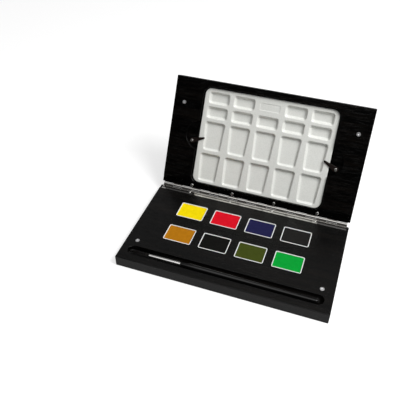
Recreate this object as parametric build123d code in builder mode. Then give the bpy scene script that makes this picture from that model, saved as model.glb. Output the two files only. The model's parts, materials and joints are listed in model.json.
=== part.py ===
from build123d import *
import os
from math import atan, cos, degrees, radians, sin, tan

os.makedirs("parts", exist_ok=True)

# Wooden watercolour box, in millimetres. X runs along the width, Y to the back and Z up.
# The origin is the centre of the base's underside. The lid stands open at rest.

# Boards
slab_width = 251.6
slab_depth = 142.0
slab_thickness = 14.8
slab_edge_round = 0.8
milled_edge_round = 0.4     # eased edges of the brush groove, the palette's recess and its notches
face_gap = 0.3              # between the two inner faces when the box is shut
lid_opening = 117.7         # degrees from shut

# Piano hinge
hinge_offset = 2.5          # axis behind the boards' back edges
hinge_end_gap = 2.8         # hinge end to the boards' sides
barrel_radius = 1.6
leaf_thickness = 0.8
leaf_reach = 10.3           # from the axis to the leaf's long edge
leaf_edge_gap = 0.2         # leaf edge to the wall of its rebate
knuckle_pairs = 9
knuckle_gap = 0.25
running_clearance = 0.05    # radial, at the hinge pin and at the clip pivots

# Hinge screws, countersunk
screw_count = 4
screw_end_margin = 38.85    # end screws, from the hinge's ends
screw_reach = 5.2           # from the hinge axis
screw_head_radius = 2.0
screw_shank_radius = 1.0
screw_grip = 7.0            # length in the wood
screw_seat_clearance = 0.03
cross_length = 1.15         # cross recess in every screw head, as shares of the head's radius
cross_width = 0.28
cross_depth = 0.8           # as a share of the head's height

# Magnets, one pair in each board
magnet_radius = 2.5
magnet_height = 2.5
magnet_side_margin = 14.3   # centres, from the boards' sides
magnet_from_groove = 15.8   # centres, from the brush groove's centre line
magnet_clearance = 0.05
magnet_dimple_radius = 0.7
magnet_dimple_bottom = 0.2  # its radius at the bottom
magnet_dimple_depth = 0.25

# Paint pans
pan_length = 34.8
pan_width = 26.0
pan_height = 10.0
pan_wall = 1.0
pan_floor = 1.4
pan_corner = 2.0
pan_taper = 5.0             # degrees, inside faces
pan_pitch_x = 44.9
pan_pitch_y = 43.4
pan_field_front = 81.2      # centre of the eight pans, from the front edge
pan_clearance = 0.15
paint_drop = 1.0            # paint surface below the pan's rim
pan_colours = [
    ["ochre", "black", "olive", "green"],  # front row, from the left
    ["yellow", "red", "navy", "grey"],
]

# Brush groove
groove_end_margin = 9.3     # from the board's sides
groove_radius = 7.0
groove_depth = 7.1
groove_front = 16.9         # centre line, from the front edge

# Brush, measured from the point of its hair
hair_length = 25.5
ferrule_length = 39.0
hair_root_radius = 2.05
hair_belly_radius = 2.35
hair_belly_run = 15.0       # from the point
hair_tip_radius = 0.4
hair_root_depth = 8.0       # set in the ferrule
ferrule_wall = 0.3
ferrule_mouth_radius = 2.35
ferrule_end_radius = 2.75
crimp_depth = 0.15
crimp_runs = (2.4, 4.8, 8.0)  # crimped rings, from the ferrule's end
handle_belly_radius = 3.9
handle_belly_run = 26.0     # from the ferrule to the belly
handle_end_radius = 2.4
handle_tenon = 12.0
brush_start_gap = 2.2       # point of the hair to the end of the groove
brush_end_gap = 5.8         # handle to the other end of the groove
brush_rest_gap = 0.15       # belly and handle end to the bottom of the groove
brush_skew = 0.5            # degrees, seen from above

# Palette and its recess in the lid
palette_width = 171.8
palette_length = 125.2
palette_thickness = 6.5
palette_corner = 9.0
palette_edge_round = 0.9
palette_rim_depth = 3.4     # rim below the lid's inner face
palette_side_gap = 1.4
palette_foot_gap = 0.8
palette_head_gap = 1.2
recess_lap = 1.0            # the recess opens into the hinge rebate and runs this far under the leaf

# Wells of the palette
well_columns = 5
well_pitch = 33.2
well_width = 27.2
well_foot_width = 23.0      # large wells, on the side of the hinge
well_corner = 3.0
well_inset = 2.0            # rim outline to floor outline
large_well_length = 37.2
small_well_length = 14.8
foot_margin = 3.2
large_well_gap = 4.6
small_well_gap = 4.0
well_depth = 4.0
well_foot_depth = 2.0       # large wells, on the side of the hinge
plaque_width = 26.0
plaque_length = 9.5
plaque_depth = 0.3
plaque_corner = 1.5

# Finger notches beside the palette, and the turn clips in them
notch_radius = 19.0
notch_inset = 4.0           # notch centre inside the recess wall
notch_depth = 3.2
clip_outset = 6.9           # pivots, outside the recess wall
clip_setback = 8.7          # pivots, from the palette's middle towards the hinge
clip_boss_radius = 3.3
clip_arm_length = 16.6      # pivot to the centre of the round tip
clip_tip_radius = 1.25
clip_thickness = 1.0
clip_edge_round = 0.25
left_clip_angle = 20.4      # degrees above the line between the two pivots
right_clip_angle = 26.3
clip_screw_head_radius = 1.9
clip_screw_head_height = 1.1
clip_screw_head_round = 0.65
clip_screw_shank_radius = 0.85
clip_screw_grip = 6.0

# Places that follow from the sizes above
front_edge = -slab_depth / 2
axis_y = slab_depth / 2 + hinge_offset
axis_z = slab_thickness + face_gap / 2
hinge_length = slab_width - 2 * hinge_end_gap
screw_pitch = (hinge_length - 2 * screw_end_margin) / (screw_count - 1)
rebate_depth = barrel_radius - face_gap / 2
rebate_reach = leaf_reach + leaf_edge_gap
top_level = slab_thickness
groove_length = slab_width - 2 * groove_end_margin
groove_y = front_edge + groove_front
groove_bottom = top_level - groove_depth
magnet_spread = slab_width - 2 * magnet_side_margin
magnet_reach = axis_y - groove_y - magnet_from_groove

# Each board has a plane at the hinge axis and one at its inner face. In both, the
# local Y runs from the axis to the board's free edge and the local Z out of the face.
opening = radians(lid_opening)
base_hinge = Plane(origin=(0, axis_y, axis_z), x_dir=(-1, 0, 0), z_dir=(0, 0, 1))
lid_hinge = Plane(origin=(0, axis_y, axis_z), x_dir=(1, 0, 0), z_dir=(0, -sin(opening), -cos(opening)))
base_face = base_hinge.offset(-face_gap / 2)
lid_face = lid_hinge.offset(-face_gap / 2)


def moved(plane, x, y, z=0, turn=(0, 0, 0)):
    """A plane moved, and then turned, in its own coordinates."""
    return Plane(plane * Location((x, y, z), turn))


def magnet_places(face):
    """The two magnet centres on a board's inner face."""
    return [moved(face, side * magnet_spread / 2, magnet_reach) for side in (-1, 1)]


def screw_places(level):
    """The centres of a leaf's screws on a plane that is level with the hinge axis."""
    first = -screw_pitch * (screw_count - 1) / 2
    return [moved(level, first + screw_pitch * i, screw_reach) for i in range(screw_count)]


# Boards


def make_slab(face):
    """A board with round edges, its hinge rebate, its pilot holes and its magnet holes."""
    with BuildPart() as slab:
        with BuildSketch(face.offset(-slab_thickness)):
            with Locations((0, hinge_offset + slab_depth / 2)):
                Rectangle(slab_width, slab_depth)
        extrude(amount=slab_thickness)
        fillet(slab.edges(), radius=slab_edge_round)
        with BuildSketch(face):
            with Locations((0, rebate_reach / 2)):
                Rectangle(2 * slab_width, rebate_reach)
        extrude(amount=-rebate_depth, mode=Mode.SUBTRACT)
        with BuildSketch(*screw_places(face.offset(-rebate_depth))):
            Circle(screw_shank_radius)
        extrude(amount=-screw_grip, mode=Mode.SUBTRACT)
        with BuildSketch(*magnet_places(face)):
            Circle(magnet_radius + magnet_clearance)
        extrude(amount=-magnet_height, mode=Mode.SUBTRACT)
    return slab.part


def pan_place(column, row):
    """Centre of a pan's rim. Row 0 is the front row."""
    x = (column - (len(pan_colours[row]) - 1) / 2) * pan_pitch_x
    y = front_edge + pan_field_front + (row - 0.5) * pan_pitch_y
    return Plane(origin=(x, y, top_level))


pans = [
    (colour, pan_place(column, row))
    for row, colours in enumerate(pan_colours)
    for column, colour in enumerate(colours)
]
groove_straight = groove_length - 2 * groove_radius

with BuildPart() as base_block:
    add(make_slab(base_face))
    with BuildSketch(*[place for colour, place in pans]):
        RectangleRounded(
            pan_length + 2 * pan_clearance, pan_width + 2 * pan_clearance, pan_corner + pan_clearance
        )
    extrude(amount=-pan_height, mode=Mode.SUBTRACT)
    with Locations((0, groove_y, groove_bottom + groove_radius)):
        Cylinder(groove_radius, groove_straight, rotation=(0, 90, 0), mode=Mode.SUBTRACT)
        with Locations((-groove_straight / 2, 0, 0), (groove_straight / 2, 0, 0)):
            Sphere(groove_radius, mode=Mode.SUBTRACT)
    groove_edges = (
        base_block.faces().sort_by(Axis.Z)[-1].edges()
        .filter_by_position(Axis.X, -groove_length / 2, groove_length / 2)
        .filter_by_position(Axis.Y, groove_y - groove_radius, groove_y + groove_radius)
    )
    fillet(groove_edges, milled_edge_round)
base_block.part.label = "base_block"
export_step(base_block.part, "parts/base_block.step")

recess_start = rebate_reach - recess_lap
recess_width = palette_width + 2 * palette_side_gap
recess_length = palette_length + palette_foot_gap + palette_head_gap
recess_depth = palette_rim_depth + palette_thickness
palette_middle = recess_start + palette_foot_gap + palette_length / 2
clip_spread = recess_width + 2 * clip_outset
clip_reach = palette_middle - clip_setback

with BuildPart() as lid_block:
    add(make_slab(lid_face))
    with BuildSketch(lid_face):
        with Locations((0, recess_start + recess_length / 2)):
            RectangleRounded(recess_width, recess_length, palette_corner + palette_head_gap)
    extrude(amount=-recess_depth, mode=Mode.SUBTRACT)
    with BuildSketch(lid_face):
        for side in (-1, 1):
            with Locations((side * (recess_width / 2 - notch_inset), palette_middle)):
                Circle(notch_radius)
    extrude(amount=-notch_depth, mode=Mode.SUBTRACT)
    face_edges = lid_block.faces().sort_by(Axis(lid_face.origin, lid_face.z_dir))[-1].edges()
    milled_side = recess_width / 2 - notch_inset + notch_radius + milled_edge_round
    milled_start = rebate_reach + milled_edge_round
    milled_end = recess_start + recess_length + milled_edge_round
    milled_edges = []
    for edge in face_edges:
        place = lid_face.to_local_coords(edge.center())
        if abs(place.X) < milled_side and milled_start < place.Y < milled_end:
            milled_edges.append(edge)
    fillet(milled_edges, milled_edge_round)
    with BuildSketch(lid_face.offset(-notch_depth)):
        with Locations((-clip_spread / 2, clip_reach), (clip_spread / 2, clip_reach)):
            Circle(clip_screw_shank_radius)
    extrude(amount=-clip_screw_grip, mode=Mode.SUBTRACT)
lid_block.part.label = "lid_block"
export_step(lid_block.part, "parts/lid_block.step")

# Piano hinge: two leaves whose knuckles take turns along one pin

pin_radius = barrel_radius - leaf_thickness - running_clearance
knuckle_count = 2 * knuckle_pairs + 1
knuckle_pitch = hinge_length / knuckle_count
plate_start = barrel_radius + knuckle_gap
head_cone_angle = 2 * degrees(atan((screw_head_radius - screw_shank_radius) / leaf_thickness))


def make_leaf(hinge, first_knuckle):
    """A leaf's plate, every second knuckle rolled round the pin, and its screw holes."""
    sections = []
    for index in range(first_knuckle, knuckle_count, 2):
        start = -hinge_length / 2 + index * knuckle_pitch + knuckle_gap / 2
        corner = hinge.from_local_coords((start, 0, 0))
        sections.append(Plane(origin=corner, x_dir=hinge.y_dir, z_dir=hinge.x_dir))
    with BuildPart() as leaf:
        with BuildSketch(hinge.offset(-barrel_radius)):
            with Locations((0, (plate_start + leaf_reach) / 2)):
                Rectangle(hinge_length, leaf_reach - plate_start)
        extrude(amount=leaf_thickness)
        with BuildSketch(*sections):
            Circle(barrel_radius)
            with Locations((0, -barrel_radius)):
                Rectangle(plate_start, leaf_thickness, align=(Align.MIN, Align.MIN))
            Circle(barrel_radius - leaf_thickness, mode=Mode.SUBTRACT)
        extrude(amount=knuckle_pitch - knuckle_gap)
        with Locations(*screw_places(hinge.offset(leaf_thickness - barrel_radius))):
            CounterSinkHole(
                screw_shank_radius + screw_seat_clearance,
                screw_head_radius + screw_seat_clearance,
                counter_sink_angle=head_cone_angle,
            )
    return leaf.part


def make_hinge_screws(hinge):
    """The countersunk screws of one leaf, with a cross recess in each head."""
    with BuildPart() as screws:
        with Locations(*screw_places(hinge.offset(leaf_thickness - barrel_radius))):
            Cone(
                screw_shank_radius, screw_head_radius, leaf_thickness,
                align=(Align.CENTER, Align.CENTER, Align.MAX),
            )
            for turn in (0, 90):
                Box(
                    screw_head_radius * cross_length, screw_head_radius * cross_width,
                    2 * cross_depth * leaf_thickness, rotation=(0, 0, turn), mode=Mode.SUBTRACT,
                )
        with Locations(*screw_places(hinge.offset(-barrel_radius))):
            Cylinder(screw_shank_radius, screw_grip, align=(Align.CENTER, Align.CENTER, Align.MAX))
    return screws.part


with BuildPart() as hinge_leaf_base:
    add(make_leaf(base_hinge, 0))
hinge_leaf_base.part.label = "hinge_leaf_base"
export_step(hinge_leaf_base.part, "parts/hinge_leaf_base.step")

with BuildPart() as hinge_leaf_lid:
    add(make_leaf(lid_hinge, 1))
hinge_leaf_lid.part.label = "hinge_leaf_lid"
export_step(hinge_leaf_lid.part, "parts/hinge_leaf_lid.step")

with BuildPart() as hinge_pin:
    with Locations((0, axis_y, axis_z)):
        Cylinder(pin_radius, hinge_length, rotation=(0, 90, 0))
hinge_pin.part.label = "hinge_pin"
export_step(hinge_pin.part, "parts/hinge_pin.step")

with BuildPart() as hinge_screws_base:
    add(make_hinge_screws(base_hinge))
hinge_screws_base.part.label = "hinge_screws_base"
export_step(hinge_screws_base.part, "parts/hinge_screws_base.step")

with BuildPart() as hinge_screws_lid:
    add(make_hinge_screws(lid_hinge))
hinge_screws_lid.part.label = "hinge_screws_lid"
export_step(hinge_screws_lid.part, "parts/hinge_screws_lid.step")

# Magnets, flush with the inner faces. Each pair meets when the box is shut.


def make_magnet(place):
    """A disc with a small dimple in its visible face."""
    with BuildPart() as magnet:
        with Locations(place):
            Cylinder(magnet_radius, magnet_height, align=(Align.CENTER, Align.CENTER, Align.MAX))
            Cone(
                magnet_dimple_bottom, magnet_dimple_radius, magnet_dimple_depth,
                align=(Align.CENTER, Align.CENTER, Align.MAX), mode=Mode.SUBTRACT,
            )
    return magnet.part


for board, face, sides in (("base", base_face, ("right", "left")), ("lid", lid_face, ("left", "right"))):
    for place, side in zip(magnet_places(face), sides):
        with BuildPart() as magnet:
            add(make_magnet(place))
        magnet.part.label = f"magnet_{board}_{side}"
        export_step(magnet.part, f"parts/magnet_{board}_{side}.step")

# Paint pans, flush with the base's top, and the cake of paint in each


def make_pan_cavity(place):
    """The inside of a pan, from its rim down to its floor."""
    with BuildPart() as cavity:
        with BuildSketch(place):
            RectangleRounded(
                pan_length - 2 * pan_wall, pan_width - 2 * pan_wall, pan_corner - 0.5 * pan_wall
            )
        extrude(amount=-(pan_height - pan_floor), taper=pan_taper)
    return cavity.part


for colour, place in pans:
    with BuildPart() as pan:
        with BuildSketch(place):
            RectangleRounded(pan_length, pan_width, pan_corner)
        extrude(amount=-pan_height)
        add(make_pan_cavity(place), mode=Mode.SUBTRACT)
    pan.part.label = f"pan_{colour}"
    export_step(pan.part, f"parts/pan_{colour}.step")

    with BuildPart() as paint:
        add(make_pan_cavity(place))
        split(bisect_by=place.offset(-paint_drop), keep=Keep.BOTTOM)
    paint.part.label = f"paint_{colour}"
    export_step(paint.part, f"parts/paint_{colour}.step")

# Brush. Its tapered handle lies along the bottom of the groove, so the whole brush leans a little.

ferrule_start = hair_length
ferrule_end = ferrule_start + ferrule_length
belly_run = ferrule_end + handle_belly_run
brush_length = groove_length - brush_start_gap - brush_end_gap
taper_end = brush_length - handle_end_radius
handle_taper = atan((handle_belly_radius - handle_end_radius) / (taper_end - belly_run))
belly_level = groove_bottom + (brush_rest_gap + handle_belly_radius) / cos(handle_taper)
tip_level = belly_level + belly_run * sin(handle_taper)
brush_x = -groove_length / 2 + brush_start_gap
brush_y = groove_y - brush_length / 2 * sin(radians(brush_skew))
brush = moved(Plane.XY, brush_x, brush_y, tip_level, (0, degrees(handle_taper), brush_skew))
brush_line = Axis(brush.origin, brush.x_dir)

with BuildPart() as brush_handle:
    with BuildSketch(brush):
        with BuildLine():
            Polyline(
                (ferrule_end - handle_tenon, 0),
                (ferrule_end - handle_tenon, ferrule_end_radius - ferrule_wall),
                (ferrule_end, ferrule_end_radius - ferrule_wall),
                (ferrule_end, ferrule_end_radius),
            )
            Spline(
                (ferrule_end, ferrule_end_radius),
                (belly_run, handle_belly_radius),
                tangents=[(1, 0.1), (1, -tan(handle_taper))],
            )
            Line((belly_run, handle_belly_radius), (taper_end, handle_end_radius))
            RadiusArc((taper_end, handle_end_radius), (brush_length, 0), handle_end_radius)
            Line((brush_length, 0), (ferrule_end - handle_tenon, 0))
        make_face()
    revolve(axis=brush_line)
brush_handle.part.label = "brush_handle"
export_step(brush_handle.part, "parts/brush_handle.step")

with BuildPart() as brush_ferrule:
    with BuildSketch(brush):
        with BuildLine():
            Polyline(
                (ferrule_start, ferrule_mouth_radius - ferrule_wall),
                (ferrule_start, ferrule_mouth_radius),
                (ferrule_end, ferrule_end_radius),
                (ferrule_end, ferrule_end_radius - ferrule_wall),
                (ferrule_end - handle_tenon, ferrule_end_radius - ferrule_wall),
                close=True,
            )
        make_face()
        for run in crimp_runs:
            with Locations((ferrule_end - run, ferrule_end_radius)):
                Circle(crimp_depth, mode=Mode.SUBTRACT)
    revolve(axis=brush_line)
brush_ferrule.part.label = "brush_ferrule"
export_step(brush_ferrule.part, "parts/brush_ferrule.step")

# The tuft, fullest near its middle and drawn to a blunt point, with its root set in the ferrule
tuft_root = hair_length + hair_root_depth
with BuildPart() as brush_hair:
    with BuildSketch(brush):
        with BuildLine():
            Polyline((0, 0), (tuft_root, 0), (tuft_root, hair_root_radius), (hair_length, hair_root_radius))
            Spline(
                (hair_length, hair_root_radius),
                (hair_belly_run, hair_belly_radius),
                (hair_tip_radius, hair_tip_radius),
                tangents=[(-1, 0.08), (-1, -0.35)],
            )
            Line((hair_tip_radius, hair_tip_radius), (0, 0))
        make_face()
    revolve(axis=brush_line)
brush_hair.part.label = "brush_hair"
export_step(brush_hair.part, "parts/brush_hair.step")

# Palette: a thick white tray in the lid's recess, its rim below the lid's face

palette_rim = moved(lid_face, 0, palette_middle, -palette_rim_depth)


def make_well(x, start, length, foot_width, foot_depth):
    """A well as a solid, from its outline in the rim to its smaller, sloping floor."""
    middle = start + length / 2 - palette_length / 2
    slope = degrees(atan((well_depth - foot_depth) / length))
    rim = moved(palette_rim, x, middle)
    floor = moved(palette_rim, x, middle, -(well_depth + foot_depth) / 2, (-slope, 0, 0))
    with BuildPart() as well:
        for level, inset in ((rim, 0), (floor, well_inset)):
            far = well_width / 2 - inset
            foot = foot_width / 2 - inset
            half = length / 2 - inset
            with BuildSketch(level) as outline:
                with BuildLine():
                    Polyline((-foot, -half), (foot, -half), (far, half), (-far, half), close=True)
                make_face()
                fillet(outline.vertices(), radius=well_corner - inset / 2)
        loft()
    return well.part


row_starts = [foot_margin]
row_starts.append(row_starts[-1] + large_well_length + large_well_gap)
row_starts.append(row_starts[-1] + large_well_length + large_well_gap)
row_starts.append(row_starts[-1] + small_well_length + small_well_gap)
plaque_column = well_columns // 2

with BuildPart() as palette:
    with BuildSketch(palette_rim):
        RectangleRounded(palette_width, palette_length, palette_corner)
    extrude(amount=-palette_thickness)
    rim_face = palette.faces().sort_by(Axis(palette_rim.origin, palette_rim.z_dir))[-1]
    fillet(rim_face.edges(), palette_edge_round)
    for column in range(well_columns):
        x = (column - (well_columns - 1) / 2) * well_pitch
        for row, start in enumerate(row_starts):
            if row < 2:
                well = make_well(x, start, large_well_length, well_foot_width, well_foot_depth)
                add(well, mode=Mode.SUBTRACT)
            elif row == 2 or column != plaque_column:
                well = make_well(x, start, small_well_length, well_width, well_depth)
                add(well, mode=Mode.SUBTRACT)
    with BuildSketch(palette_rim):
        with Locations((0, row_starts[3] + small_well_length / 2 - palette_length / 2)):
            RectangleRounded(plaque_width, plaque_length, plaque_corner)
    extrude(amount=-plaque_depth, mode=Mode.SUBTRACT)
palette.part.label = "palette"
export_step(palette.part, "parts/palette.step")

# Turn clips that hold the palette, and the screws that they turn on

clip_level = lid_face.offset(-notch_depth + running_clearance)
clip_top = running_clearance + clip_thickness + running_clearance
clips = (
    ("left", -clip_spread / 2, left_clip_angle),
    ("right", clip_spread / 2, 180 - right_clip_angle),
)

for side, pivot_x, angle in clips:
    place = moved(clip_level, pivot_x, clip_reach, 0, (0, 0, angle))
    with BuildPart() as clip:
        with BuildSketch(place):
            Circle(clip_boss_radius)
            with Locations((clip_arm_length, 0)):
                Circle(clip_tip_radius)
            make_hull()
            Circle(clip_screw_shank_radius + running_clearance, mode=Mode.SUBTRACT)
        extrude(amount=clip_thickness)
        outer = clip.faces().sort_by(Axis(place.origin, place.z_dir))[-1].outer_wire()
        fillet(outer.edges(), clip_edge_round)
    clip.part.label = f"clip_{side}"
    export_step(clip.part, f"parts/clip_{side}.step")

    seat = moved(lid_face, pivot_x, clip_reach, -notch_depth)
    with BuildPart() as clip_screw:
        with Locations(seat.offset(clip_top)):
            Cylinder(
                clip_screw_head_radius, clip_screw_head_height,
                align=(Align.CENTER, Align.CENTER, Align.MIN),
            )
        head_edge = clip_screw.edges().sort_by(Axis(seat.origin, seat.z_dir))[-1]
        fillet(head_edge, clip_screw_head_round)
        with Locations(seat.offset(clip_top + clip_screw_head_height)):
            for turn in (0, 90):
                Box(
                    clip_screw_head_radius * cross_length, clip_screw_head_radius * cross_width,
                    2 * cross_depth * clip_screw_head_height, rotation=(0, 0, turn), mode=Mode.SUBTRACT,
                )
        with Locations(seat.offset(clip_top)):
            Cylinder(
                clip_screw_shank_radius, clip_top + clip_screw_grip,
                align=(Align.CENTER, Align.CENTER, Align.MAX),
            )
    clip_screw.part.label = f"clip_screw_{side}"
    export_step(clip_screw.part, f"parts/clip_screw_{side}.step")
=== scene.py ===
import json
import math

import bmesh
import bpy
from mathutils import Matrix, Vector, noise
from mathutils.geometry import delaunay_2d_cdt


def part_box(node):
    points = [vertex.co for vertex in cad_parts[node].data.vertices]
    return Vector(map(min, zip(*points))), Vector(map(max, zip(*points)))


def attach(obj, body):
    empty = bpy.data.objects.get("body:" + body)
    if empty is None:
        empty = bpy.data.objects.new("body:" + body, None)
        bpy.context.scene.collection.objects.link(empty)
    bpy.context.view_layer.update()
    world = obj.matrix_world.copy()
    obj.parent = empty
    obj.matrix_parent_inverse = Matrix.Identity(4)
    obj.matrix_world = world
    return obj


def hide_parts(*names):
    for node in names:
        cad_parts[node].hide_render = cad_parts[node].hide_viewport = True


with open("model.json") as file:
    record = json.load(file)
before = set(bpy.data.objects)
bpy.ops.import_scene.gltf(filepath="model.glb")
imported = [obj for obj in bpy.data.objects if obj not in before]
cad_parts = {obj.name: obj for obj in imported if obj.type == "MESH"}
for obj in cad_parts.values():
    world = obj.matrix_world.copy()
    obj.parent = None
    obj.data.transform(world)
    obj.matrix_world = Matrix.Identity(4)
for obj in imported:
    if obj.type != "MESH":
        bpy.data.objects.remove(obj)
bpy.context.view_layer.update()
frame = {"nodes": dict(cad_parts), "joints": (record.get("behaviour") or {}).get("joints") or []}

nodes = frame["nodes"]
collection = bpy.context.scene.collection
MM = 0.001

# Camera, where the photograph was taken from: above the box and to the right of its front.
camera_place = (0.1132, -0.4396, 0.4783)
camera_azimuth = 19.80
camera_elevation = 41.33
camera_roll = -0.15
camera_lens = 48.22
camera_film = 36.0
camera_near = 0.01
camera_far = 50.0

camera_data = bpy.data.cameras.new("camera")
camera_data.lens = camera_lens
camera_data.sensor_width = camera_film
camera_data.clip_start = camera_near
camera_data.clip_end = camera_far
camera = bpy.data.objects.new("camera", camera_data)
collection.objects.link(camera)
camera.matrix_world = (
    Matrix.Translation(camera_place)
    @ Matrix.Rotation(math.radians(camera_azimuth), 4, "Z")
    @ Matrix.Rotation(math.radians(90 - camera_elevation), 4, "X")
    @ Matrix.Rotation(math.radians(camera_roll), 4, "Z")
)
bpy.context.scene.camera = camera
bpy.context.scene.view_settings.view_transform = "Standard"


# The room: a wide soft light above the front of the box, a dimmer one behind it, and dark
# behind the camera. The camera sees it white.
def wire(tree, kind, inputs=None, **settings):
    """A new node, with its settings and its inputs, which are values or other nodes' sockets."""
    node = tree.nodes.new(kind)
    for name, value in settings.items():
        setattr(node, name, value)
    for name, value in (inputs or {}).items():
        if isinstance(value, bpy.types.NodeSocket):
            tree.links.new(value, node.inputs[name])
        else:
            node.inputs[name].default_value = value
    return node


def opaque(colour):
    """A colour of three numbers with a fourth, which makes it solid. A socket stays as it is."""
    return (*colour, 1) if isinstance(colour, tuple) else colour


def shades(tree, factor, *stops):
    """A colour ramp through (place, grey) or (place, colour) stops."""
    node = wire(tree, "ShaderNodeValToRGB", {"Fac": factor})
    ramp = node.color_ramp
    while len(ramp.elements) < len(stops):
        ramp.elements.new(1.0)
    for element, (place, colour) in zip(ramp.elements, stops):
        element.position = place
        element.color = opaque(colour if isinstance(colour, tuple) else (colour,) * 3)
    return node.outputs["Color"]


def mixed(tree, factor, first, second, how="MIX"):
    """Two colours mixed, added or multiplied."""
    inputs = {0: factor, 6: opaque(first), 7: opaque(second)}
    return wire(tree, "ShaderNodeMix", inputs, data_type="RGBA", blend_type=how).outputs[2]


overhead_middle = (0.12, -0.25, 0.96)
overhead_strength = 1.5

world = bpy.data.worlds.new("room")
bpy.context.scene.world = world
world.use_nodes = True
room = world.node_tree
room.nodes.clear()
direction = wire(room, "ShaderNodeTexCoord").outputs["Generated"]
sides = wire(room, "ShaderNodeSeparateXYZ", {"Vector": direction})
towards = wire(
    room, "ShaderNodeVectorMath", {0: direction, 1: overhead_middle}, operation="DOT_PRODUCT"
).outputs["Value"]
overhead = shades(room, towards, (0.58, 0.0), (0.74, 0.05), (0.85, 0.35), (0.92, 1.0), (0.97, 1.0))
bright = mixed(room, 1.0, overhead, (overhead_strength,) * 3, "MULTIPLY")
backwards = shades(room, sides.outputs["Y"], (0.0, 0.0), (0.35, 0.03), (0.62, 0.40), (0.9, 0.40))
band = shades(room, sides.outputs["Z"], (0.38, 0.0), (0.52, 1.0), (0.80, 1.0), (0.90, 0.0))
behind = mixed(room, 1.0, backwards, band, "MULTIPLY")
ambient = mixed(room, 1.0, bright, behind, "ADD")
seen = wire(room, "ShaderNodeLightPath").outputs["Is Camera Ray"]
colour = mixed(room, seen, ambient, (1, 1, 1))
background = wire(room, "ShaderNodeBackground", {"Color": colour, "Strength": 1.0})
wire(room, "ShaderNodeOutputWorld", {"Surface": background.outputs[0]})

# Key light: a round soft lamp, high on the right and in front, aimed at the box.
key_place = Vector((0.74, -0.12, 1.08))
key_aim = Vector((0, 0.02, 0.05))
key_size = 0.7
key_power = 13.9

key_light = bpy.data.lights.new("key", "AREA")
key_light.shape = "DISK"
key_light.size = key_size
key_light.energy = key_power
key = bpy.data.objects.new("key", key_light)
collection.objects.link(key)
key.location = key_place
key.rotation_euler = (key_aim - key_place).to_track_quat("-Z", "Y").to_euler()

# Floor: a wide white sheet. The camera sees it white, and it keeps the box's soft shadow.
floor_half = 3.0
floor_white = 0.62
floor_glow = 0.56

floor_mesh = bpy.data.meshes.new("floor")
floor_corners = [(x * floor_half, y * floor_half, 0) for x, y in ((-1, -1), (1, -1), (1, 1), (-1, 1))]
floor_mesh.from_pydata(floor_corners, [], [(0, 1, 2, 3)])
floor = bpy.data.objects.new("floor", floor_mesh)
collection.objects.link(floor)
paper = bpy.data.materials.new("floor_paper")
paper.use_nodes = True
tree = paper.node_tree
tree.nodes.clear()
matt = wire(tree, "ShaderNodeBsdfDiffuse", {"Color": opaque((floor_white,) * 3)})
glow = wire(tree, "ShaderNodeEmission", {"Strength": floor_glow})
glowing = wire(tree, "ShaderNodeAddShader", {0: matt.outputs[0], 1: glow.outputs[0]})
seen = wire(tree, "ShaderNodeLightPath").outputs["Is Camera Ray"]
chosen = wire(tree, "ShaderNodeMixShader", {0: seen, 1: matt.outputs[0], 2: glowing.outputs[0]})
wire(tree, "ShaderNodeOutputMaterial", {"Surface": chosen.outputs[0]})
floor_mesh.materials.append(paper)


# Base board and lid board: two slabs of close-grained wood, milled on one face for the pans,
# the brush and the palette, stained black and given a thin satin lacquer.
def surface(name, **values):
    """A new material with one Principled shader, whose sockets take the values given."""
    material = bpy.data.materials.new(name)
    material.use_nodes = True
    shader = material.node_tree.nodes["Principled BSDF"]
    for socket, value in values.items():
        shader.inputs[socket.replace("_", " ")].default_value = value
    return material, material.node_tree, shader


def cloud(tree, scale, detail=4.0, roughness=0.55, distortion=0.0):
    """Noise in object coordinates; a scale of three numbers stretches it along an axis."""
    position = wire(tree, "ShaderNodeTexCoord").outputs["Object"]
    spread = scale if isinstance(scale, tuple) else (scale, scale, scale)
    placed = wire(tree, "ShaderNodeMapping", {"Vector": position, "Scale": spread}).outputs["Vector"]
    return wire(
        tree, "ShaderNodeTexNoise",
        {"Vector": placed, "Scale": 1.0, "Detail": detail, "Roughness": roughness, "Distortion": distortion},
    ).outputs["Fac"]


def relief(tree, height, depth, under=None):
    """A bump whose height of 1 stands for depth metres, on top of another bump."""
    inputs = {"Height": height, "Distance": depth}
    if under is not None:
        inputs["Normal"] = under
    return wire(tree, "ShaderNodeBump", inputs).outputs["Normal"]


def treat(tree, shader, **looks):
    """Links other nodes' sockets to the shader's sockets that they are named after here."""
    for socket, look in looks.items():
        tree.links.new(look, shader.inputs[socket.replace("_", " ")])


def dress(piece, material):
    """Gives a piece its material, in place of any that it came with."""
    piece.data.materials.clear()
    piece.data.materials.append(material)


wood_dark = (0.0002, 0.0002, 0.0002)
wood_pale = (0.0040, 0.0030, 0.0024)
fibre_scale = (16, 620, 620)
band_scale = (4, 70, 70)
pore_scale = (60, 2100, 2100)
pore_depth = 0.00004
fibre_depth = 0.000008
band_share = 0.45
pore_shade = 0.8

black_wood, tree, shader = surface("black_wood", Specular_IOR_Level=0.26)
fibre = cloud(tree, fibre_scale, detail=7, roughness=0.62, distortion=0.2)
band = cloud(tree, band_scale, detail=3)
pores = shades(tree, cloud(tree, pore_scale, detail=1), (0.32, 0.0), (0.43, 1.0))
grain = mixed(tree, band_share, fibre, band)
stain = shades(tree, grain, (0.47, wood_dark), (0.62, wood_pale))
lacquer = relief(tree, fibre, fibre_depth)
treat(
    tree, shader,
    Base_Color=mixed(tree, pore_shade, stain, pores, "MULTIPLY"),
    Roughness=shades(tree, grain, (0.3, 0.20), (0.7, 0.25)),
    Normal=relief(tree, pores, pore_depth, lacquer),
)
dress(nodes["base_block"], black_wood)
dress(nodes["lid_block"], black_wood)

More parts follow.
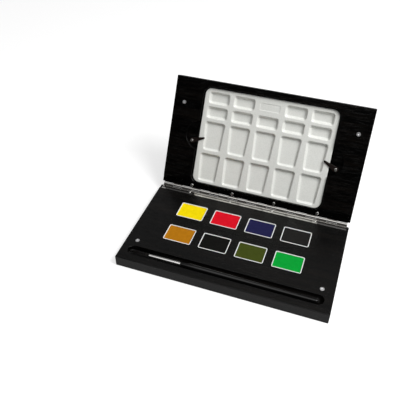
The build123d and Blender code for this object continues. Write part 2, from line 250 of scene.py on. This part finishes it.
# Piano hinge: two leaves of nickelled steel strip, rolled round one pin, with a fine drawn
# finish along their length. Their colour carries painted light: dark painted shade on the
# flats and beside the knuckles, and painted highlights on the knuckles, in a line along the
# middle of each leaf and in another near its long edge.
# The bright nickel colour makes the painted highlights, and the dark one makes the painted shade.
nickel = (0.77, 0.75, 0.72)
painted_shade_nickel = (0.19, 0.185, 0.175)
drawn_scale = (9, 2600, 2600)
drawn_depth = 0.0000008
tarnish_scale = 130
leaf_reach = 10.3 * MM

hinge_joint = next(joint for joint in frame["joints"] if joint["name"] == "lid_hinge")
pin_x, pin_y, pin_z = hinge_joint["pos_m"]

hinge_nickel, tree, shader = surface("hinge_nickel", Metallic=1.0)
drawn = cloud(tree, drawn_scale, detail=3)
tarnish = cloud(tree, tarnish_scale, detail=4)
from_pin = wire(
    tree, "ShaderNodeMapping",
    {
        "Vector": wire(tree, "ShaderNodeTexCoord").outputs["Object"],
        "Location": (0, -pin_y / leaf_reach, -pin_z / leaf_reach),
        "Scale": (0, 1 / leaf_reach, 1 / leaf_reach),
    },
)
across = wire(
    tree, "ShaderNodeVectorMath", {0: from_pin.outputs["Vector"]}, operation="LENGTH"
).outputs["Value"]
# Painted highlights and painted shade: bright bands on the knuckle, along the middle of each leaf and near
# its long edge, and dark bands between them.
painted_light_bands = shades(
    tree, across, (0.15, 1.0), (0.17, 0.0), (0.34, 0.0), (0.40, 0.9), (0.50, 0.9),
    (0.56, 0.0), (0.72, 0.0), (0.78, 1.0), (0.93, 1.0), (0.98, 0.2),
)
painted_light_metal = mixed(tree, painted_light_bands, painted_shade_nickel, nickel)
worn = shades(tree, tarnish, (0.3, 0.82), (0.7, 1.0))
satin = shades(tree, drawn, (0.3, 0.11), (0.7, 0.17))
bright = shades(tree, drawn, (0.3, 0.08), (0.7, 0.14))
treat(
    tree, shader,
    Base_Color=mixed(tree, 1.0, painted_light_metal, worn, "MULTIPLY"),
    Roughness=mixed(tree, painted_light_bands, satin, bright),
    Normal=relief(tree, drawn, drawn_depth),
)
for name in ("hinge_leaf_base", "hinge_leaf_lid", "hinge_pin"):
    dress(nodes[name], hinge_nickel)

# Hinge screws: small raised-head wood screws with a cross recess, four in each leaf,
# each stopped at its own angle.
hinge_place = Matrix.Translation((pin_x, pin_y, pin_z))
base_space = hinge_place @ Matrix.Rotation(math.pi, 4, "Z")
lid_space = hinge_place @ Matrix.Rotation(math.radians(hinge_joint["range_deg"][1]), 4, "X")


def reach(name, space):
    """Lowest and highest corner of a CAD node, in a frame other than the object's."""
    inverse = space.inverted()
    points = [inverse @ vertex.co for vertex in nodes[name].data.vertices]
    return tuple(Vector([limit(p[i] for p in points) for i in range(3)]) for limit in (min, max))


def settle(piece, body, slot, *replaced):
    """Lets a finished piece ride on a body and stand for CAD nodes; the slot argument is not used."""
    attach(piece, body)
    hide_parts(*replaced)


def grown(name, group, inputs, space):
    """The mesh that a geometry node tree makes, placed by a matrix, as a plain object."""
    seed_mesh = bpy.data.meshes.new(name)
    seedling = bpy.data.objects.new(name + "_seedling", seed_mesh)
    collection.objects.link(seedling)
    modifier = seedling.modifiers.new("grow", "NODES")
    modifier.node_group = group
    sockets = {item.name: item.identifier for item in group.interface.items_tree if item.in_out == "INPUT"}
    for label, value in inputs.items():
        modifier[sockets[label]] = value
    bpy.context.view_layer.update()
    evaluated = seedling.evaluated_get(bpy.context.evaluated_depsgraph_get())
    mesh = bpy.data.meshes.new_from_object(evaluated)
    bpy.data.objects.remove(seedling)
    mesh.transform(space)
    mesh.name = name
    piece = bpy.data.objects.new(name, mesh)
    collection.objects.link(piece)
    return piece


def new_group(name, **inputs):
    """An empty geometry node tree whose inputs have the types given, and its input node."""
    group = bpy.data.node_groups.new(name, "GeometryNodeTree")
    for label, kind in inputs.items():
        group.interface.new_socket(label.replace("_", " "), in_out="INPUT", socket_type="NodeSocket" + kind)
    group.interface.new_socket("Mesh", in_out="OUTPUT", socket_type="NodeSocketGeometry")
    return group, group.nodes.new("NodeGroupInput").outputs


def maths(tree, how, *values):
    """One sum on numbers or sockets."""
    return wire(tree, "ShaderNodeMath", dict(enumerate(values)), operation=how).outputs[0]


screw_count = 4
screw_radius = 2.0 * MM
screw_dome = 0.45 * MM
screw_shank = 1.0 * MM
screw_seed = 4
screw_turn = 6.28
cross_length = 1.15
cross_width = 0.26
cross_depth = 1.5
head_segments = 40
head_rings = 20
shank_sides = 20
turning_scale = 1900
screw_dark = (0.50, 0.49, 0.47)
screw_light = (0.74, 0.73, 0.71)

screw_steel, tree, shader = surface("screw_steel", Metallic=1.0)
turned = cloud(tree, turning_scale, detail=2)
treat(
    tree, shader,
    Base_Color=mixed(tree, turned, screw_dark, screw_light),
    Roughness=shades(tree, turned, (0.3, 0.2), (0.7, 0.34)),
)

screws, given = new_group(
    "cross_head_screws", Count="Int", Pitch="Float", Radius="Float", Dome="Float",
    Shank="Float", Grip="Float", Turn_Seed="Int", Metal="Material",
)
dome_scale = wire(screws, "ShaderNodeCombineXYZ", {0: given["Radius"], 1: given["Radius"], 2: given["Dome"]})
ball = wire(
    screws, "GeometryNodeMeshUVSphere", {"Segments": head_segments, "Rings": head_rings, "Radius": 1.0}
)
dome = wire(screws, "GeometryNodeTransform", {"Geometry": ball.outputs[0], "Scale": dome_scale.outputs[0]})
slot_long = maths(screws, "MULTIPLY", given["Radius"], cross_length)
slot_wide = maths(screws, "MULTIPLY", given["Radius"], cross_width)
slot_deep = maths(screws, "MULTIPLY", given["Dome"], cross_depth)
slot_level = wire(screws, "ShaderNodeCombineXYZ", {2: given["Dome"]})
cross = wire(screws, "GeometryNodeJoinGeometry")
for length, width in ((slot_long, slot_wide), (slot_wide, slot_long)):
    size = wire(screws, "ShaderNodeCombineXYZ", {0: length, 1: width, 2: slot_deep})
    bar = wire(screws, "GeometryNodeMeshCube", {"Size": size.outputs[0]})
    raised = wire(
        screws, "GeometryNodeTransform",
        {"Geometry": bar.outputs[0], "Translation": slot_level.outputs[0]},
    )
    screws.links.new(raised.outputs[0], cross.inputs[0])
head = wire(screws, "GeometryNodeMeshBoolean", {"Mesh 1": dome.outputs[0], "Mesh 2": cross.outputs[0]})
shank = wire(
    screws, "GeometryNodeMeshCylinder",
    {"Vertices": shank_sides, "Radius": given["Shank"], "Depth": given["Grip"]},
)
shank_low = wire(screws, "ShaderNodeCombineXYZ", {2: maths(screws, "MULTIPLY", given["Grip"], -0.5)})
shank_placed = wire(
    screws, "GeometryNodeTransform",
    {"Geometry": shank.outputs[0], "Translation": shank_low.outputs[0]},
)
screw = wire(screws, "GeometryNodeJoinGeometry")
screws.links.new(head.outputs[0], screw.inputs[0])
screws.links.new(shank_placed.outputs[0], screw.inputs[0])
step = wire(screws, "ShaderNodeCombineXYZ", {0: given["Pitch"]})
row = wire(screws, "GeometryNodeMeshLine", {"Count": given["Count"], "Offset": step.outputs[0]})
angle = wire(
    screws, "FunctionNodeRandomValue", {"Max": (0, 0, screw_turn), "Seed": given["Turn Seed"]},
    data_type="FLOAT_VECTOR",
)
placed = wire(
    screws, "GeometryNodeInstanceOnPoints",
    {"Points": row.outputs[0], "Instance": screw.outputs[0], "Rotation": angle.outputs[0]},
)
real = wire(screws, "GeometryNodeRealizeInstances", {0: placed.outputs[0]})
faced = wire(screws, "GeometryNodeSetMaterial", {"Geometry": real.outputs[0], "Material": given["Metal"]})
wire(screws, "NodeGroupOutput", {0: faced.outputs[0]})

for board, space in (("base", base_space), ("lid", lid_space)):
    low, high = reach(f"hinge_screws_{board}", space)
    span = high.x - low.x - 2 * screw_radius
    first = Matrix.Translation((low.x + screw_radius, (low.y + high.y) / 2, high.z))
    piece = grown(
        f"cross_screws_{board}", screws,
        {
            "Count": screw_count, "Pitch": span / (screw_count - 1), "Radius": screw_radius,
            "Dome": screw_dome, "Shank": screw_shank, "Grip": high.z - low.z,
            "Turn Seed": screw_seed, "Metal": screw_steel,
        },
        space @ first,
    )
    settle(piece, board, "screw_steel", f"hinge_screws_{board}")

# Magnets: small nickel-plated discs, two in each board, which hold the box shut. They are
# pressed into blind holes, level with the wood.
magnet_dull = (0.78, 0.78, 0.79)
magnet_bright = (0.93, 0.93, 0.94)
scuff_scale = 900

magnet_nickel, tree, shader = surface("magnet_nickel", Metallic=1.0)
scuffs = cloud(tree, scuff_scale, detail=4)
treat(
    tree, shader,
    Base_Color=mixed(tree, scuffs, magnet_dull, magnet_bright),
    Roughness=shades(tree, scuffs, (0.3, 0.30), (0.7, 0.50)),
)
for name, node in nodes.items():
    if name.startswith("magnet_"):
        dress(node, magnet_nickel)


# Pans: eight small trays moulded in white plastic, with round corners and a soft rim. Each
# stands in its own pocket in the base board, and lifts out.
def round_loop(corners, radius, arc_steps, side_steps=1):
    """An outline through corners given anticlockwise, each rounded by the same radius."""
    points = []
    for i, corner in enumerate(corners):
        before = (corner - corners[i - 1]).normalized()
        after = (corners[(i + 1) % len(corners)] - corner).normalized()
        out_before = Vector((before.y, -before.x))
        out_after = Vector((after.y, -after.x))
        centre = corner - (out_before + out_after) * radius / (1 + out_before.dot(out_after))
        start = math.atan2(out_before.y, out_before.x)
        turn = out_before.angle(out_after)
        for k in range(arc_steps + 1):
            angle = start + turn * k / arc_steps
            points.append(centre + radius * Vector((math.cos(angle), math.sin(angle))))
    if side_steps > 1:
        spaced = []
        for i, point in enumerate(points):
            spaced.append(point)
            if i % (arc_steps + 1) == arc_steps:
                following = points[(i + 1) % len(points)]
                spaced += [point.lerp(following, k / side_steps) for k in range(1, side_steps)]
        points = spaced
    return points


def box_corners(half_x, half_y):
    """The corners of a rectangle, anticlockwise."""
    return [Vector((x * half_x, y * half_y)) for x, y in ((-1, -1), (1, -1), (1, 1), (-1, 1))]


def add_skin(shape, rings):
    """Joins rings of as many points by four-sided faces, and returns their vertices."""
    loops = [[shape.verts.new(point) for point in ring] for ring in rings]
    for near, far in zip(loops, loops[1:]):
        for i in range(len(near)):
            j = (i + 1) % len(near)
            shape.faces.new((near[i], near[j], far[j], far[i]))
    return loops


def finished(shape, name, material, space):
    """A closed bmesh as a smooth object with its faces outwards, placed by a matrix."""
    bmesh.ops.recalc_face_normals(shape, faces=shape.faces)
    mesh = bpy.data.meshes.new(name)
    shape.to_mesh(mesh)
    shape.free()
    mesh.transform(space)
    mesh.polygons.foreach_set("use_smooth", [True] * len(mesh.polygons))
    mesh.materials.append(material)
    piece = bpy.data.objects.new(name, mesh)
    collection.objects.link(piece)
    flat_faces = piece.modifiers.new("flat_faces_lead", "WEIGHTED_NORMAL")
    flat_faces.keep_sharp = False
    return piece


def bend(centre, radius, start, end, steps):
    """Points of an arc from one angle to another, in degrees."""
    angles = [math.radians(start + (end - start) * k / steps) for k in range(steps + 1)]
    return [(centre[0] + radius * math.cos(a), centre[1] + radius * math.sin(a)) for a in angles]


pan_wall = 1.0 * MM
pan_floor = 1.4 * MM
pan_corner = 2.0 * MM
pan_inner_corner = 0.8 * MM
pan_draft = math.tan(math.radians(5.0))
rim_round = 0.3 * MM
pan_foot_round = 0.6 * MM
pan_bend_steps = 4
arc_steps = 8
pan_dull = (0.80, 0.80, 0.785)
pan_bright = (0.90, 0.90, 0.89)
pan_speck_scale = 420
pan_speck_depth = 0.00001

pan_white, tree, shader = surface("pan_white", Subsurface_Weight=0.06, Subsurface_Scale=0.002)
speck = cloud(tree, pan_speck_scale, detail=5)
treat(
    tree, shader,
    Base_Color=mixed(tree, speck, pan_dull, pan_bright),
    Roughness=shades(tree, speck, (0.3, 0.30), (0.7, 0.44)),
    Normal=relief(tree, speck, pan_speck_depth),
)

pan_colours = [name.removeprefix("pan_") for name in sorted(nodes) if name.startswith("pan_")]
for colour in pan_colours:
    low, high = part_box(f"pan_{colour}")
    half_x = (high.x - low.x) / 2
    half_y = (high.y - low.y) / 2
    height = high.z - low.z
    inner_depth = height - pan_floor
    profile = bend((pan_foot_round, pan_foot_round - height), pan_foot_round, 270, 180, pan_bend_steps)
    profile += bend((rim_round, -rim_round), rim_round, 180, 90, pan_bend_steps)
    profile += bend((pan_wall - rim_round, -rim_round), rim_round, 90, 0, pan_bend_steps)
    profile.append((pan_wall + inner_depth * pan_draft, -inner_depth))
    pan = bmesh.new()
    rings = []
    for inset, level in profile:
        corner = pan_inner_corner if inset > pan_wall / 2 else pan_corner - inset
        outline = round_loop(box_corners(half_x - inset, half_y - inset), corner, arc_steps)
        rings.append([(*point, level) for point in outline])
    loops = add_skin(pan, rings)
    pan.faces.new(loops[0])
    pan.faces.new(loops[-1])
    rim_centre = Matrix.Translation(((low.x + high.x) / 2, (low.y + high.y) / 2, high.z))
    piece = finished(pan, f"tray_{colour}", pan_white, rim_centre)
    settle(piece, "base", "pan_white", f"pan_{colour}")

# Paint: a cake of watercolour poured into each pan. It dries a little hollow in the middle
# and stays higher, unevenly, where it clings to the walls.
def shade(red, green, blue):
    """A colour as a screen shows it, 0 to 255, in the linear light that shaders work in."""
    shown = [value / 255 for value in (red, green, blue)]
    return tuple(value / 12.92 if value < 0.04045 else ((value + 0.055) / 1.055) ** 2.4 for value in shown)


paint_shades = {
    "ochre": (172, 111, 12), "black": (12, 12, 10), "olive": (59, 68, 18), "green": (0, 148, 48),
    "yellow": (238, 212, 0), "red": (206, 10, 32), "navy": (27, 27, 66), "grey": (27, 26, 25),
}
cake_corner = 0.8 * MM
cake_least_corner = 0.3 * MM
cake_corner_ease = 0.3
cake_inset = 0.03 * MM
cake_level = 1.0 * MM
cake_hollow = 0.22 * MM
cake_cling = 0.62 * MM
cake_cling_width = 0.7 * MM
cake_climb_mean = 0.55
cake_climb_spread = 0.9
cake_climb_scale = 420
cake_ripple = 0.07 * MM
cake_ripple_scale = 170
cake_noise_step = 31.7
cake_middle = 0.6 * MM
cake_sides = 22
cake_arc_steps = 4
cake_rings = 15
cake_ring_crowding = 1.7
paint_mottle_scale = 260
paint_sheen_scale = 700
paint_grit_scale = 1500
paint_grit_depth = 0.00002
paint_lift = 1.10
paint_veil = 0.0008
paint_deepening = 0.90


def cake_height(point, distance, half_width, offset):
    """Height of the cake's top at a point of the pan, that far from the wall."""
    place = Vector((*point, 0))
    ripple = noise.noise(place * cake_ripple_scale + offset)
    uneven = cake_climb_mean + cake_climb_spread * noise.noise(place * cake_climb_scale + offset)
    hollow = min(distance / half_width, 1.0) ** 0.5
    climb = uneven * math.exp(-distance / cake_cling_width)
    return -cake_level + cake_cling * climb + cake_ripple * ripple - cake_hollow * hollow


for number, colour in enumerate(pan_colours):
    pan_low, pan_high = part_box(f"pan_{colour}")
    half_x = (pan_high.x - pan_low.x) / 2 - pan_wall - cake_inset
    half_y = (pan_high.y - pan_low.y) / 2 - pan_wall - cake_inset
    floor_depth = pan_high.z - pan_low.z - pan_floor - cake_inset
    offset = Vector((cake_noise_step * number, 0, 0))
    foot_inset = floor_depth * pan_draft
    cake = bmesh.new()
    foot = round_loop(
        box_corners(half_x - foot_inset, half_y - foot_inset), cake_corner, cake_arc_steps, cake_sides
    )
    rings = [[(*point, -floor_depth) for point in foot]]
    for k in range(cake_rings):
        distance = (half_y - cake_middle) * (k / (cake_rings - 1)) ** cake_ring_crowding
        inset = distance + cake_level * pan_draft
        corner = max(cake_corner - distance * cake_corner_ease, cake_least_corner)
        corners = box_corners(half_x - inset, half_y - inset)
        outline = round_loop(corners, corner, cake_arc_steps, cake_sides)
        rings.append([(*point, cake_height(point, distance, half_y, offset)) for point in outline])
    loops = add_skin(cake, rings)
    cake.faces.new(loops[0])
    cake.faces.new(loops[-1])

    paint, tree, shader = surface(f"paint_{colour}", Specular_IOR_Level=0.08)
    pigment = shade(*paint_shades[colour])
    mottle = cloud(tree, paint_mottle_scale, detail=5, roughness=0.6)
    sheen = cloud(tree, paint_sheen_scale, detail=3)
    light = tuple(min(1, value * paint_lift + paint_veil) for value in pigment)
    deep = tuple(value * paint_deepening for value in pigment)
    treat(
        tree, shader,
        Base_Color=shades(tree, mottle, (0.25, deep), (0.75, light)),
        Roughness=shades(tree, sheen, (0.3, 0.42), (0.7, 0.62)),
        Normal=relief(tree, cloud(tree, paint_grit_scale, detail=4), paint_grit_depth),
    )
    rim_centre = Matrix.Translation(
        ((pan_low.x + pan_high.x) / 2, (pan_low.y + pan_high.y) / 2, pan_high.z)
    )
    piece = finished(cake, f"cake_{colour}", paint, rim_centre)
    settle(piece, "base", f"paint_{colour}", f"paint_{colour}")

# Brush: a turned hardwood handle dipped in black lacquer, a seamless plated ferrule crimped
# on to it, and a pointed tuft of dark hair set in the ferrule's mouth.
lacquer_dark = (0.0016, 0.0015, 0.0015)
lacquer_light = (0.0032, 0.0030, 0.0030)
ferrule_dull = (0.64, 0.63, 0.61)
ferrule_bright = (0.76, 0.75, 0.74)
ferrule_end = 0.4 * MM
dust_scale = 500
polish_scale = (1800, 60, 60)

lacquer_black, tree, shader = surface("brush_lacquer", Specular_IOR_Level=0.38)
dust = cloud(tree, dust_scale, detail=4)
treat(
    tree, shader,
    Base_Color=mixed(tree, dust, lacquer_dark, lacquer_light),
    Roughness=shades(tree, dust, (0.3, 0.05), (0.7, 0.11)),
)
dress(nodes["brush_handle"], lacquer_black)

ferrule_metal, tree, shader = surface("ferrule_metal", Metallic=1.0)
polish = cloud(tree, polish_scale, detail=3)
treat(
    tree, shader,
    Base_Color=mixed(tree, polish, ferrule_dull, ferrule_bright),
    Roughness=shades(tree, polish, (0.3, 0.12), (0.7, 0.22)),
)
dress(nodes["brush_ferrule"], ferrule_metal)

ferrule_low, ferrule_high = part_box("brush_ferrule")
ends = {}
for end, limit in (("mouth", ferrule_low.x), ("handle", ferrule_high.x)):
    near = [v.co for v in nodes["brush_ferrule"].data.vertices if abs(v.co.x - limit) < ferrule_end]
    ends[end] = sum(near, Vector()) / len(near)
brush_axis = (ends["mouth"] - ends["handle"]).normalized()
hair_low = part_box("brush_hair")[0]

hair_count = 1100
hair_steps = 16
hair_radius = 0.065 * MM
hair_root = 4.0 * MM
tuft_radius = 2.35 * MM
tuft_profile = ((0.0, 0.84), (0.16, 0.87), (0.45, 1.0), (0.74, 0.78), (0.92, 0.38), (1.0, 0.06))
tuft_seed = 11
hair_shortest = 0.86
wander_outwards = 9.0
wander_onwards = 1.6
wander_scale = 1.3
stray_least = 0.90
stray_spread = 0.2
stray_twist = 0.35
tip_fineness = 0.8
tip_power = 4.0
strand_scale = (60, 3500, 3500)
hair_dark = (0.0012, 0.0009, 0.0008)
hair_light = (0.0065, 0.0045, 0.0034)

brush_hair, tree, shader = surface("brush_hair", Specular_IOR_Level=0.4)
strands = cloud(tree, strand_scale, detail=3)
treat(
    tree, shader,
    Base_Color=mixed(tree, strands, hair_dark, hair_light),
    Roughness=shades(tree, strands, (0.3, 0.38), (0.7, 0.55)),
)

tuft, given = new_group(
    "pointed_tuft", Hairs="Int", Steps="Int", Length="Float", Root="Float", Belly="Float",
    Thickness="Float", Seed="Int", Hair="Material",
)
roots = wire(tuft, "GeometryNodePoints", {"Count": given["Hairs"]}).outputs[0]
shares = {}
random_shares = (("spread", 0.0, 1.0), ("around", 0.0, 2 * math.pi), ("reach", hair_shortest, 1.0))
for seed, (label, low, high) in enumerate(random_shares):
    number = wire(
        tuft, "FunctionNodeRandomValue",
        {2: low, 3: high, "Seed": maths(tuft, "ADD", given["Seed"], seed)}, data_type="FLOAT",
    )
    roots = wire(
        tuft, "GeometryNodeStoreNamedAttribute",
        {"Geometry": roots, "Name": label, "Value": number.outputs[1]}, data_type="FLOAT", domain="POINT",
    ).outputs[0]
    stored = wire(tuft, "GeometryNodeInputNamedAttribute", {"Name": label}, data_type="FLOAT")
    shares[label] = stored.outputs[0]
line = wire(tuft, "GeometryNodeCurvePrimitiveLine", {"End": (1, 0, 0)})
stepped = wire(tuft, "GeometryNodeResampleCurve", {"Curve": line.outputs[0], "Count": given["Steps"]})
planted = wire(tuft, "GeometryNodeInstanceOnPoints", {"Points": roots, "Instance": stepped.outputs[0]})
single = wire(tuft, "GeometryNodeRealizeInstances", {0: planted.outputs[0]})
run = wire(tuft, "GeometryNodeSplineParameter").outputs["Factor"]
spread = maths(tuft, "SQRT", shares["spread"])
whole = maths(tuft, "ADD", given["Root"], maths(tuft, "MULTIPLY", given["Length"], shares["reach"]))
along = maths(tuft, "SUBTRACT", maths(tuft, "MULTIPLY", run, whole), given["Root"])
share = wire(
    tuft, "ShaderNodeClamp", {"Value": maths(tuft, "DIVIDE", along, given["Length"])}
).outputs[0]
swell = wire(tuft, "ShaderNodeFloatCurve", {"Value": share})
curve = swell.mapping.curves[0]
curve.points[0].location = tuft_profile[0]
curve.points[1].location = tuft_profile[-1]
for place in tuft_profile[1:-1]:
    curve.points.new(*place)
swell.mapping.update()
outwards = maths(tuft, "MULTIPLY", shares["spread"], wander_outwards)
onwards = maths(tuft, "MULTIPLY", run, wander_onwards)
wander_place = wire(tuft, "ShaderNodeCombineXYZ", {0: outwards, 1: shares["around"], 2: onwards})
wander = wire(
    tuft, "ShaderNodeTexNoise",
    {"Vector": wander_place.outputs[0], "Scale": wander_scale, "Detail": 1.0},
)
stray = maths(tuft, "ADD", stray_least, maths(tuft, "MULTIPLY", stray_spread, wander.outputs[0]))
belly = maths(tuft, "MULTIPLY", given["Belly"], maths(tuft, "MULTIPLY", swell.outputs[0], stray))
radius = maths(tuft, "MULTIPLY", belly, spread)
twist = maths(tuft, "ADD", shares["around"], maths(tuft, "MULTIPLY", wander.outputs[0], stray_twist))
spot = wire(
    tuft, "ShaderNodeCombineXYZ",
    {
        0: along,
        1: maths(tuft, "MULTIPLY", radius, maths(tuft, "COSINE", twist)),
        2: maths(tuft, "MULTIPLY", radius, maths(tuft, "SINE", twist)),
    },
)
combed = wire(tuft, "GeometryNodeSetPosition", {"Geometry": single.outputs[0], "Position": spot.outputs[0]})
taper = maths(tuft, "MULTIPLY", maths(tuft, "POWER", run, tip_power), tip_fineness)
fine = maths(tuft, "MULTIPLY", given["Thickness"], maths(tuft, "SUBTRACT", 1.0, taper))
section = wire(tuft, "GeometryNodeCurvePrimitiveCircle", {"Resolution": 3, "Radius": 1.0})
hairs = wire(
    tuft, "GeometryNodeCurveToMesh",
    {"Curve": combed.outputs[0], "Profile Curve": section.outputs[0], "Scale": fine, "Fill Caps": True},
)
real = wire(tuft, "GeometryNodeRealizeInstances", {0: hairs.outputs[0]})
tinted = wire(tuft, "GeometryNodeSetMaterial", {"Geometry": real.outputs[0], "Material": given["Hair"]})
wire(tuft, "NodeGroupOutput", {0: tinted.outputs[0]})

mouth_turn = Vector((1, 0, 0)).rotation_difference(brush_axis).to_matrix().to_4x4()
piece = grown(
    "pointed_hair", tuft,
    {
        "Hairs": hair_count, "Steps": hair_steps, "Length": ferrule_low.x - hair_low.x, "Root": hair_root,
        "Belly": tuft_radius - hair_radius, "Thickness": hair_radius, "Seed": tuft_seed, "Hair": brush_hair,
    },
    Matrix.Translation(ends["mouth"]) @ mouth_turn,
)
settle(piece, "base", "brush_hair", "brush_hair")

# Palette: a thick white tray with four rows of wells, glazed all over, so that every rim
# and floor runs soft. It lies in the lid's recess.
palette_corner = 9.0 * MM
palette_edge = 1.0 * MM
palette_foot_edge = 0.8 * MM
well_columns = 5
well_pitch = 33.2 * MM
well_width = 27.2 * MM
well_foot_width = 23.0 * MM
well_corner = 3.4 * MM
well_inset = 2.0 * MM
large_well = 37.2 * MM
small_well = 14.8 * MM
foot_margin = 3.2 * MM
large_gap = 4.6 * MM
small_gap = 4.0 * MM
well_depth = 4.0 * MM
well_foot_depth = 2.0 * MM
well_rim_round = 1.3 * MM
well_floor_round = 2.4 * MM
plaque_size = (26.0 * MM, 9.5 * MM)
plaque_depth = 0.3 * MM
plaque_row = 3
plaque_wall = 0.8 * MM
plaque_round = 1.0 * MM
plaque_corner = 1.5 * MM
well_least_corner = 1.4 * MM
outline_steps = 14
edge_steps = 6
foot_edge_steps = 4
well_wall_steps = 6
plaque_wall_steps = 4
glaze_pooled = (0.755, 0.765, 0.725)
glaze_clear = (0.80, 0.81, 0.775)
glaze_fleck = (0.74, 0.74, 0.70)
glaze_pool_scale = 90
glaze_fleck_scale = 600
glaze_fleck_share = 0.5
glaze_wave_depth = 0.00012
glaze_fleck_depth = 0.000012
same_point = 1e-7
fill_inside = 1

palette_glaze, tree, shader = surface("palette_glaze", Coat_Weight=0.35, Coat_Roughness=0.12)
pooled = cloud(tree, glaze_pool_scale, detail=3)
fleck = cloud(tree, glaze_fleck_scale, detail=5)
glaze = mixed(tree, pooled, glaze_pooled, glaze_clear)
flecked = mixed(tree, glaze_fleck_share, fleck, (0, 0, 0))
wavy = relief(tree, pooled, glaze_wave_depth)
treat(
    tree, shader,
    Base_Color=mixed(tree, flecked, glaze, glaze_fleck),
    Roughness=shades(tree, fleck, (0.3, 0.22), (0.7, 0.34)),
    Normal=relief(tree, fleck, glaze_fleck_depth, wavy),
)

palette_low, palette_high = reach("palette", lid_space)
palette_half = Vector(((palette_high.x - palette_low.x) / 2, (palette_high.y - palette_low.y) / 2))
palette_thick = palette_high.z - palette_low.z
palette_rim = lid_space @ Matrix.Translation(
    ((palette_low.x + palette_high.x) / 2, (palette_low.y + palette_high.y) / 2, palette_high.z)
)


def soft_wall(depth, run, rim_radius, floor_radius, steps):
    """(inset, depth) points of a sloping wall, rounded over at its rim and into its floor."""
    slope = math.atan2(depth, run)
    rim_cut = rim_radius * math.tan(slope / 2)
    floor_cut = floor_radius * math.tan(slope / 2)
    points = []
    for k in range(steps + 1):
        turn = slope * k / steps
        points.append((-rim_cut + rim_radius * math.sin(turn), rim_radius * (1 - math.cos(turn))))
    for k in range(steps + 1):
        turn = slope * (1 - k / steps)
        inset = run + floor_cut - floor_radius * math.sin(turn)
        points.append((inset, depth - floor_radius * (1 - math.cos(turn))))
    return points


wells = []
row_start = foot_margin
for row, (length, gap) in enumerate(
    ((large_well, large_gap), (large_well, large_gap), (small_well, small_gap), (small_well, small_gap))
):
    tapered = length == large_well
    foot_width = well_foot_width if tapered else well_width
    foot_depth = well_foot_depth if tapered else well_depth
    for column in range(well_columns):
        from_middle = column - (well_columns - 1) / 2
        centre = Vector((from_middle * well_pitch, row_start + length / 2 - palette_half.y))
        if row == plaque_row and column == well_columns // 2:
            wells.append((centre, plaque_size[0], plaque_size[0], plaque_size[1], plaque_depth, plaque_depth))
        else:
            wells.append((centre, foot_width, well_width, length, foot_depth, well_depth))
    row_start += length + gap

shape = bmesh.new()
edge_profile = bend((palette_edge, -palette_edge), palette_edge, 90, 180, edge_steps)
edge_profile += bend(
    (palette_foot_edge, palette_foot_edge - palette_thick), palette_foot_edge, 180, 270, foot_edge_steps
)
rings = []
for inset, level in edge_profile:
    corners = box_corners(palette_half.x - inset, palette_half.y - inset)
    rings.append([(*point, level) for point in round_loop(corners, palette_corner - inset, outline_steps)])
loops = add_skin(shape, rings)
shape.faces.new(loops[-1])
rim_loops = [loops[0]]
for centre, foot_width, far_width, length, foot_depth, far_depth in wells:
    shallow = far_depth < palette_edge
    if shallow:
        profile = soft_wall(far_depth, plaque_wall, plaque_round, plaque_round, plaque_wall_steps)
    else:
        profile = soft_wall(far_depth, well_inset, well_rim_round, well_floor_round, well_wall_steps)
    rings = []
    for inset, depth in profile:
        foot = foot_width / 2 - inset
        far = far_width / 2 - inset
        half = length / 2 - inset
        corners = [Vector((-foot, -half)), Vector((foot, -half)), Vector((far, half)), Vector((-far, half))]
        corner = plaque_corner if shallow else max(well_corner - inset, well_least_corner)
        ring = []
        for point in round_loop(corners, corner, arc_steps):
            share = 0.5 + point.y / length
            depth_here = depth * (foot_depth + (far_depth - foot_depth) * share) / far_depth
            ring.append((*(centre + point), -depth_here))
        rings.append(ring)
    loops = add_skin(shape, rings)
    shape.faces.new(loops[-1])
    rim_loops.append(loops[0])

rim_points = [vertex for loop in rim_loops for vertex in loop]
rim_edges = []
for loop in rim_loops:
    start = rim_points.index(loop[0])
    rim_edges += [(start + i, start + (i + 1) % len(loop)) for i in range(len(loop))]
flat_points = [vertex.co.xy for vertex in rim_points]
corners, _, faces, origins, _, _ = delaunay_2d_cdt(flat_points, rim_edges, [], fill_inside, same_point)
for face in faces:
    middle = sum((corners[i] for i in face), Vector((0, 0))) / len(face)
    inside_well = False
    for centre, foot_width, far_width, length, foot_depth, far_depth in wells:
        offset = middle - centre
        share = 0.5 + offset.y / length
        half_width = (foot_width + (far_width - foot_width) * share) / 2
        if abs(offset.y) < length / 2 and abs(offset.x) < half_width:
            inside_well = True
    if not inside_well:
        shape.faces.new([rim_points[origins[i][0]] for i in face])
piece = finished(shape, "mixing_tray", palette_glaze, palette_rim)
settle(piece, "lid", "palette_white", "palette")

# Turn clips: two small black steel pointers on round-head screws. They turn over the
# palette's edge and hold it.
clip_dark = (0.0022, 0.0016, 0.0014)
clip_brown = (0.0130, 0.0066, 0.0046)
clip_peel_scale = 1400
clip_peel_depth = 0.00002

clip_black, tree, shader = surface("clip_black", Specular_IOR_Level=0.3)
peel = cloud(tree, clip_peel_scale, detail=3)
treat(
    tree, shader,
    Base_Color=mixed(tree, peel, clip_dark, clip_brown),
    Roughness=shades(tree, peel, (0.3, 0.3), (0.7, 0.45)),
    Normal=relief(tree, peel, clip_peel_depth),
)
for side in ("left", "right"):
    dress(nodes[f"clip_{side}"], clip_black)
    dress(nodes[f"clip_screw_{side}"], screw_steel)
